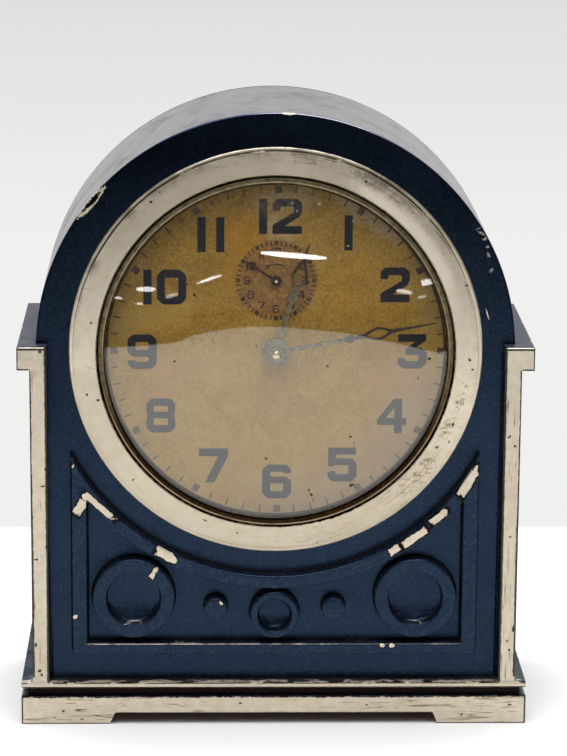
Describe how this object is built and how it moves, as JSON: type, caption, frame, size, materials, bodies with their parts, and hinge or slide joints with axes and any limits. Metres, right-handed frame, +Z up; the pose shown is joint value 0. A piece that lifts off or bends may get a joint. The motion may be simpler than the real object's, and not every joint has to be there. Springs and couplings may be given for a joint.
{
  "type": "wind-up alarm clock",
  "caption": "Arched wind-up alarm clock on a footed plinth: enamelled cast case with bare pilasters and dial ring, domed glass, moving hands, winding keys and full movement.",
  "frame": {"origin": "on the resting surface, below the middle of the clock's box", "axes": "+Z up, -Y the way the dial faces, +X to the right of someone facing the dial"},
  "size_m": [0.12, 0.058, 0.1454],
  "materials": {
    "enamel": "gloss dark blue enamel on cast white metal, chipped on its edges",
    "bare_metal": "bare white metal, satin, pitted and warm with age",
    "glass": "clear domed glass",
    "dark_brass": "tarnished brass",
    "dial_face": "printed dial sheet, yellowed",
    "hand_steel": "dull grey steel",
    "blued_steel": "blued steel",
    "spring_steel": "tempered spring steel",
    "brass": "plain brass",
    "key_brass": "handled brass",
    "steel": "plain steel",
    "bell_steel": "nickelled steel",
    "cover_black": "black lacquered sheet steel"
  },
  "bodies": {
    "case": {"case_casting": "enamel", "base_plinth": "bare_metal", "base_screw_left": "steel", "base_screw_right": "steel", "crystal": "glass", "sight_ring": "dark_brass", "dial": "dial_face", "front_plate": "brass", "back_plate": "brass", "pillar_1": "brass", "pillar_2": "brass", "pillar_3": "brass", "pillar_4": "brass", "movement_screw_1": "steel", "movement_screw_2": "steel", "movement_screw_3": "steel", "movement_screw_4": "steel", "back_cover": "cover_black", "cover_screw_1": "steel", "cover_screw_2": "steel", "cover_screw_3": "steel", "cover_screw_4": "steel", "time_mainspring": "spring_steel", "alarm_mainspring": "spring_steel", "hairspring": "blued_steel", "bell": "bell_steel", "bell_screw": "steel", "bell_spacer": "brass"},
    "centre_arbor": {"centre_wheel": "brass", "cannon_pinion": "brass", "minute_hand": "hand_steel", "hand_nut": "brass", "time_set_knob": "key_brass"},
    "hour_work": {"hour_wheel": "brass", "hour_hand": "hand_steel"},
    "minute_work": {"minute_wheel": "brass"},
    "alarm_release": {"alarm_wheel": "brass"},
    "time_great": {"time_great_wheel": "brass", "time_click": "steel"},
    "third": {"third_wheel": "brass"},
    "fourth": {"fourth_wheel": "brass"},
    "escape": {"escape_wheel": "brass"},
    "pallets": {"pallet_lever": "steel"},
    "balance": {"balance_wheel": "brass"},
    "time_winder": {"time_winding_arbor": "steel", "time_winding_key": "key_brass"},
    "alarm_winder": {"alarm_winding_arbor": "steel", "alarm_winding_key": "key_brass"},
    "alarm_great": {"alarm_great_wheel": "brass", "alarm_click": "steel"},
    "alarm_strike": {"alarm_escape_wheel": "brass"},
    "hammer": {"alarm_hammer": "steel"},
    "alarm_setting": {"alarm_set_arbor": "steel", "alarm_hand": "blued_steel", "alarm_set_knob": "key_brass"},
    "regulator": {"regulator_lever": "steel"},
    "alarm_stop": {"alarm_stop_lever": "steel"}
  },
  "joints": [
    {"name": "minute_hand_turn", "type": "hinge", "parent": "case", "child": "centre_arbor", "pos_m": [0, -0.00003, 0.0896], "axis": [0, 1, 0], "continuous": true},
    {"name": "hour_hand_turn", "type": "hinge", "parent": "case", "child": "hour_work", "pos_m": [0, -0.00003, 0.0896], "axis": [0, 1, 0], "continuous": true},
    {"name": "minute_wheel_turn", "type": "hinge", "parent": "case", "child": "minute_work", "pos_m": [-0.00893, -0.00003, 0.08444], "axis": [0, 1, 0], "continuous": true},
    {"name": "alarm_wheel_turn", "type": "hinge", "parent": "case", "child": "alarm_release", "pos_m": [0, -0.00003, 0.1061], "axis": [0, 1, 0], "continuous": true},
    {"name": "time_great_wheel_turn", "type": "hinge", "parent": "case", "child": "time_great", "pos_m": [-0.018, -0.00003, 0.0756], "axis": [0, 1, 0], "continuous": true},
    {"name": "third_wheel_turn", "type": "hinge", "parent": "case", "child": "third", "pos_m": [-0.01337, -0.00003, 0.09896], "axis": [0, 1, 0], "continuous": true},
    {"name": "fourth_wheel_turn", "type": "hinge", "parent": "case", "child": "fourth", "pos_m": [-0.01789, -0.00003, 0.11139], "axis": [0, 1, 0], "continuous": true},
    {"name": "escape_wheel_turn", "type": "hinge", "parent": "case", "child": "escape", "pos_m": [-0.00724, -0.00003, 0.11527], "axis": [0, 1, 0], "continuous": true},
    {"name": "pallet_rock", "type": "hinge", "parent": "case", "child": "pallets", "pos_m": [0.00025, -0.00003, 0.11659], "axis": [0, 1, 0], "range_deg": [-4, 4]},
    {"name": "balance_swing", "type": "hinge", "parent": "case", "child": "balance", "pos_m": [0.00973, -0.00003, 0.11709], "axis": [0, 1, 0], "range_deg": [-150, 150], "stiffness_Nm_per_rad": 0.000002},
    {"name": "time_wind", "type": "hinge", "parent": "case", "child": "time_winder", "pos_m": [-0.018, -0.00003, 0.0756], "axis": [0, -1, 0], "range_deg": [0, 1800]},
    {"name": "alarm_wind", "type": "hinge", "parent": "case", "child": "alarm_winder", "pos_m": [0.018, -0.00003, 0.0756], "axis": [0, -1, 0], "range_deg": [0, 1440]},
    {"name": "alarm_great_wheel_turn", "type": "hinge", "parent": "case", "child": "alarm_great", "pos_m": [0.018, -0.00003, 0.0756], "axis": [0, 1, 0], "continuous": true},
    {"name": "alarm_escape_wheel_turn", "type": "hinge", "parent": "case", "child": "alarm_strike", "pos_m": [0.03176, -0.00003, 0.08524], "axis": [0, 1, 0], "continuous": true},
    {"name": "alarm_hammer_swing", "type": "hinge", "parent": "case", "child": "hammer", "pos_m": [0.03531, -0.00003, 0.07762], "axis": [0, 1, 0], "range_deg": [-14, 1]},
    {"name": "alarm_set", "type": "hinge", "parent": "case", "child": "alarm_setting", "pos_m": [0, -0.00003, 0.1061], "axis": [0, 1, 0], "continuous": true},
    {"name": "regulator_shift", "type": "hinge", "parent": "case", "child": "regulator", "pos_m": [0.00973, -0.00003, 0.11709], "axis": [0, 1, 0], "range_deg": [-25, 25]},
    {"name": "alarm_stop_shift", "type": "hinge", "parent": "case", "child": "alarm_stop", "pos_m": [-0.027, -0.00003, 0.0646], "axis": [0, 1, 0], "range_deg": [-25, 0]}
  ],
  "couplings": [
    {"joint": "hour_hand_turn", "follows": "minute_hand_turn", "ratio": 0.083333},
    {"joint": "minute_wheel_turn", "follows": "minute_hand_turn", "ratio": -0.33333},
    {"joint": "alarm_wheel_turn", "follows": "minute_hand_turn", "ratio": -0.083333},
    {"joint": "time_great_wheel_turn", "follows": "minute_hand_turn", "ratio": -0.16667},
    {"joint": "third_wheel_turn", "follows": "minute_hand_turn", "ratio": -7.5},
    {"joint": "fourth_wheel_turn", "follows": "minute_hand_turn", "ratio": 60},
    {"joint": "escape_wheel_turn", "follows": "minute_hand_turn", "ratio": -480},
    {"joint": "alarm_escape_wheel_turn", "follows": "alarm_great_wheel_turn", "ratio": -6}
  ]
}
